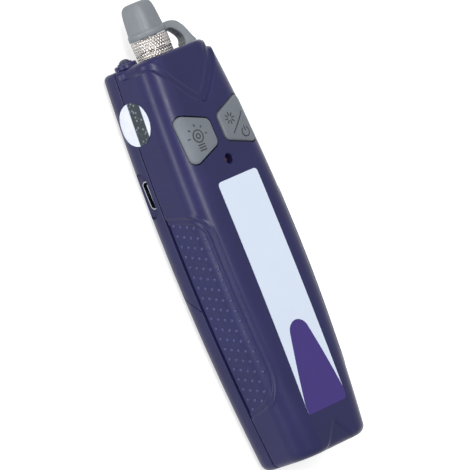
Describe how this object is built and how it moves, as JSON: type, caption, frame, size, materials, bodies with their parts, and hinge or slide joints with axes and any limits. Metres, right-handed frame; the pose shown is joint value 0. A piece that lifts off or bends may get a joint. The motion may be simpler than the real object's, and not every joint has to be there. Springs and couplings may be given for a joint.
{
  "type": "visual fault locator",
  "caption": "Handheld red laser source for tracing breaks in optical fibre: barrel-shaped two-shell housing, capped universal ferrule port, lamp, push keys and a sliding battery door.",
  "frame": {"origin": "middle of the flat back face, which the part lies on", "axes": "+Z is the way the front face looks, +Y runs along the body towards the fibre port, +X is to the right of someone looking at the front"},
  "size_m": [0.0376, 0.147, 0.0273],
  "materials": {
    "housing": "semi-gloss moulded plastic, dark blue-violet",
    "bezel": "moulded plastic, dark blue-violet",
    "inner_plastic": "plain black moulding",
    "plunger": "plain moulding",
    "cell": "printed sleeve over a metal can",
    "contact_steel": "plated spring strip",
    "board": "green circuit board",
    "bright_steel": "drawn and plated",
    "chip": "black component body",
    "indicator_red": "clear tinted rod",
    "grey_rubber": "moulded grey silicone rubber",
    "nickel": "turned, knurled and nickel plated",
    "ceramic": "white zirconia",
    "barrel_brass": "turned brass",
    "lens_glass": "polished",
    "led_dome": "cast epoxy dome",
    "label": "satin printed film",
    "foil": "bright foil",
    "screw_steel": "plated steel"
  },
  "bodies": {
    "housing": {"front_shell": "housing", "rear_shell": "housing", "torch_bezel": "bezel", "battery_tray": "inner_plastic", "battery_cell": "cell", "negative_contact": "contact_steel", "positive_contact": "contact_steel", "circuit_board": "board", "charging_socket": "bright_steel", "driver_chip": "chip", "indicator_chip": "chip", "light_pipe": "indicator_red", "lamp_switch": "inner_plastic", "power_switch": "inner_plastic", "port_body": "nickel", "split_sleeve": "ceramic", "lock_ring": "nickel", "knurled_collar": "nickel", "laser_barrel": "barrel_brass", "focus_lens": "lens_glass", "laser_diode": "barrel_brass", "torch_led": "led_dome", "torch_board": "board", "cap_strap": "grey_rubber", "front_label": "label", "round_seal": "foil", "shell_screw_left": "screw_steel", "shell_screw_right": "screw_steel", "tray_screw_left": "screw_steel", "tray_screw_right": "screw_steel"},
    "cap": {"dust_cap": "grey_rubber"},
    "lamp_key": {"lamp_button": "grey_rubber", "lamp_plunger": "plunger"},
    "power_key": {"power_button": "grey_rubber", "power_plunger": "plunger"},
    "door": {"battery_door": "housing"}
  },
  "joints": [
    {"name": "cap_swing", "type": "hinge", "parent": "housing", "child": "cap", "pos_m": [0.00999, 0.07175, 0.01655], "axis": [0.309, 0, -0.9511], "range_deg": [0, 110], "deforming": ["cap_strap"]},
    {"name": "lamp_button_press", "type": "slide", "parent": "housing", "child": "lamp_key", "axis": [0, 0, -1], "range_m": [0, 0.0005], "stiffness_N_per_m": 1500, "springref_m": -0.001},
    {"name": "power_button_press", "type": "slide", "parent": "housing", "child": "power_key", "axis": [0, 0, -1], "range_m": [0, 0.0005], "stiffness_N_per_m": 1500, "springref_m": -0.001},
    {"name": "battery_door_slide", "type": "slide", "parent": "housing", "child": "door", "axis": [0, -1, 0], "range_m": [0, 0.063]}
  ]
}
